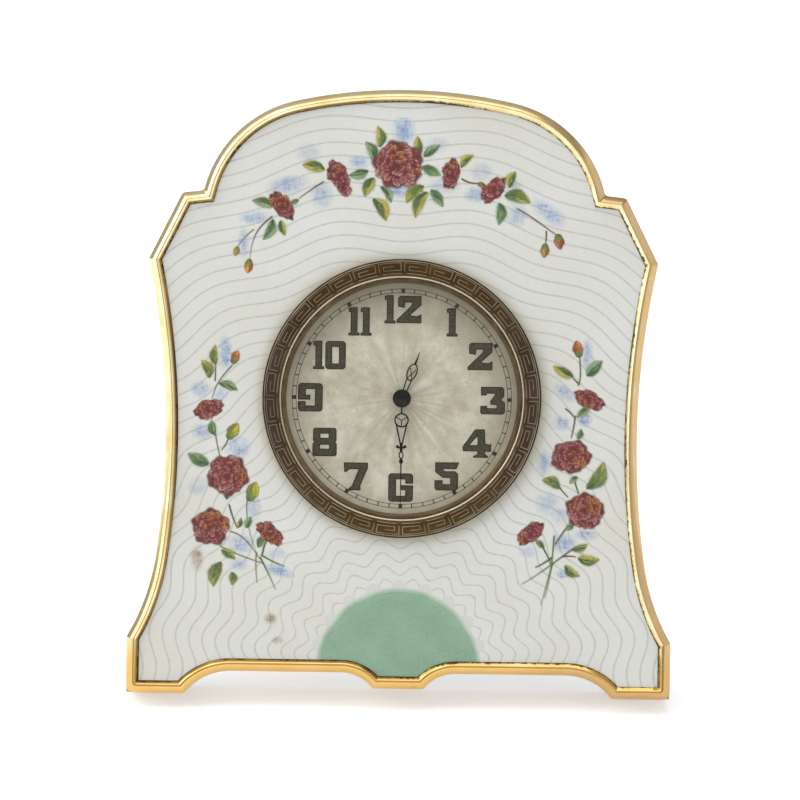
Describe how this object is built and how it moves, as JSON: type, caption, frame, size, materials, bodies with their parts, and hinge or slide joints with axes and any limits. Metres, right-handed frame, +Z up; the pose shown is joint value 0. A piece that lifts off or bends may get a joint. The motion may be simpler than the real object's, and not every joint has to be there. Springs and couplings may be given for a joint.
{
  "type": "table clock",
  "caption": "Small strut table clock: gilt rim, white enamel panel with a green half sun, round silvered dial and a folding leg behind.",
  "frame": {"origin": "on the table, in the middle of the footprint", "axes": "+Z up, the dial faces -Y, +X to the right seen from the front"},
  "size_m": [0.0896, 0.051, 0.0996],
  "materials": {
    "gilt": "polished, gilded",
    "silver": "engine-turned silver under the enamel",
    "white_enamel": "translucent fired enamel, glossy",
    "green_enamel": "opaque fired enamel, glossy",
    "bronzed": "toned, satin",
    "crystal": "clear, polished",
    "silvered_dial": "silvered, matt, aged",
    "dark_numerals": "oxidised, satin",
    "dark_steel": "blackened, polished",
    "movement_brass": "gilt, frosted",
    "steel": "polished",
    "jewel": "ruby, polished"
  },
  "bodies": {
    "case": {"rim_frame": "gilt", "front_plate": "silver", "white_enamel": "white_enamel", "green_enamel": "green_enamel", "case_band": "gilt", "back_plate": "gilt", "back_screws": "gilt", "bezel": "bronzed", "crystal": "crystal", "sight_ring": "bronzed", "dial": "silvered_dial", "dial_numerals": "dark_numerals", "movement_drum": "movement_brass", "rear_cover": "gilt", "main_plate": "movement_brass", "pillars": "movement_brass", "train_bridge": "movement_brass", "bridge_screws": "steel", "lever_cock": "movement_brass", "balance_cock": "movement_brass", "cock_screw": "steel", "jewels": "jewel", "hairspring": "steel", "click_spring": "steel", "leg_hinge": "gilt", "hinge_screws": "gilt", "hinge_pin": "steel"},
    "leg": {"leg": "gilt"},
    "hand_setting": {"setting_arbor": "steel", "cannon_pinion": "steel", "minute_hand": "dark_steel", "setting_knob": "gilt"},
    "minute_wheel": {"minute_wheel": "movement_brass"},
    "hour_hand": {"hour_wheel": "movement_brass", "hour_hand": "dark_steel"},
    "fourth_wheel": {"fourth_wheel": "movement_brass"},
    "third_wheel": {"third_wheel": "movement_brass"},
    "centre_wheel": {"centre_wheel": "movement_brass"},
    "escape_wheel": {"escape_wheel": "steel"},
    "barrel": {"barrel_drum": "movement_brass", "barrel_lid": "movement_brass", "mainspring": "steel"},
    "winding_arbor": {"barrel_arbor": "steel", "ratchet_wheel": "steel", "key_hub": "gilt", "key_pin": "steel"},
    "key_wing": {"key_wing": "gilt"},
    "click": {"click": "steel"},
    "lever": {"lever": "steel"},
    "balance": {"balance_wheel": "movement_brass", "balance_staff": "steel"},
    "regulator": {"regulator_index": "steel"}
  },
  "joints": [
    {"name": "leg_swing", "type": "hinge", "parent": "case", "child": "leg", "pos_m": [0, 0.00733, 0.07399], "axis": [1, 0, 0], "range_deg": [-27.3, 0]},
    {"name": "hand_setting", "type": "hinge", "parent": "case", "child": "hand_setting", "pos_m": [0, -0.00873, 0.04924], "axis": [0, -0.9703, 0.2419], "continuous": true},
    {"name": "minute_wheel_turn", "type": "hinge", "parent": "case", "child": "minute_wheel", "pos_m": [-0.006, -0.00873, 0.04924], "axis": [0, -0.9703, 0.2419], "continuous": true},
    {"name": "hour_hand_turn", "type": "hinge", "parent": "case", "child": "hour_hand", "pos_m": [0, -0.00873, 0.04924], "axis": [0, -0.9703, 0.2419], "continuous": true},
    {"name": "fourth_wheel_turn", "type": "hinge", "parent": "case", "child": "fourth_wheel", "pos_m": [-0.00326, -0.01085, 0.04075], "axis": [0, -0.9703, 0.2419], "continuous": true},
    {"name": "third_wheel_turn", "type": "hinge", "parent": "case", "child": "third_wheel", "pos_m": [-0.00624, -0.00961, 0.04575], "axis": [0, -0.9703, 0.2419], "continuous": true},
    {"name": "centre_wheel_turn", "type": "hinge", "parent": "case", "child": "centre_wheel", "pos_m": [0, -0.00873, 0.04924], "axis": [0, -0.9703, 0.2419], "continuous": true},
    {"name": "escape_wheel_turn", "type": "hinge", "parent": "case", "child": "escape_wheel", "pos_m": [0.00194, -0.01063, 0.04163], "axis": [0, -0.9703, 0.2419], "continuous": true},
    {"name": "barrel_turn", "type": "hinge", "parent": "case", "child": "barrel", "pos_m": [0, -0.00634, 0.05884], "axis": [0, -0.9703, 0.2419], "continuous": true},
    {"name": "winding", "type": "hinge", "parent": "case", "child": "winding_arbor", "pos_m": [0, -0.00634, 0.05884], "axis": [0, -0.9703, 0.2419], "continuous": true},
    {"name": "key_fold", "type": "hinge", "parent": "winding_arbor", "child": "key_wing", "pos_m": [0, 0.00317, 0.05647], "axis": [-1, 0, 0], "range_deg": [0, 90]},
    {"name": "click_lift", "type": "hinge", "parent": "case", "child": "click", "pos_m": [0.0056, -0.00561, 0.06175], "axis": [0, -0.9703, 0.2419], "range_deg": [-8, 0], "stiffness_Nm_per_rad": 0.0001},
    {"name": "lever_rock", "type": "hinge", "parent": "case", "child": "lever", "pos_m": [0.0058, -0.01038, 0.04264], "axis": [0, -0.9703, 0.2419], "range_deg": [-5, 5]},
    {"name": "balance_swing", "type": "hinge", "parent": "case", "child": "balance", "pos_m": [0.01102, -0.01004, 0.044], "axis": [0, -0.9703, 0.2419], "range_deg": [-220, 220], "stiffness_Nm_per_rad": 0.0000007},
    {"name": "regulator_turn", "type": "hinge", "parent": "case", "child": "regulator", "pos_m": [0.01102, -0.01004, 0.044], "axis": [0, -0.9703, 0.2419], "range_deg": [-15, 15]}
  ],
  "couplings": [
    {"joint": "minute_wheel_turn", "follows": "hand_setting", "ratio": -0.33333},
    {"joint": "hour_hand_turn", "follows": "hand_setting", "ratio": 0.083333},
    {"joint": "third_wheel_turn", "follows": "fourth_wheel_turn", "ratio": -0.13333},
    {"joint": "centre_wheel_turn", "follows": "fourth_wheel_turn", "ratio": 0.016667},
    {"joint": "barrel_turn", "follows": "fourth_wheel_turn", "ratio": -0.0025641},
    {"joint": "escape_wheel_turn", "follows": "fourth_wheel_turn", "ratio": -10}
  ]
}
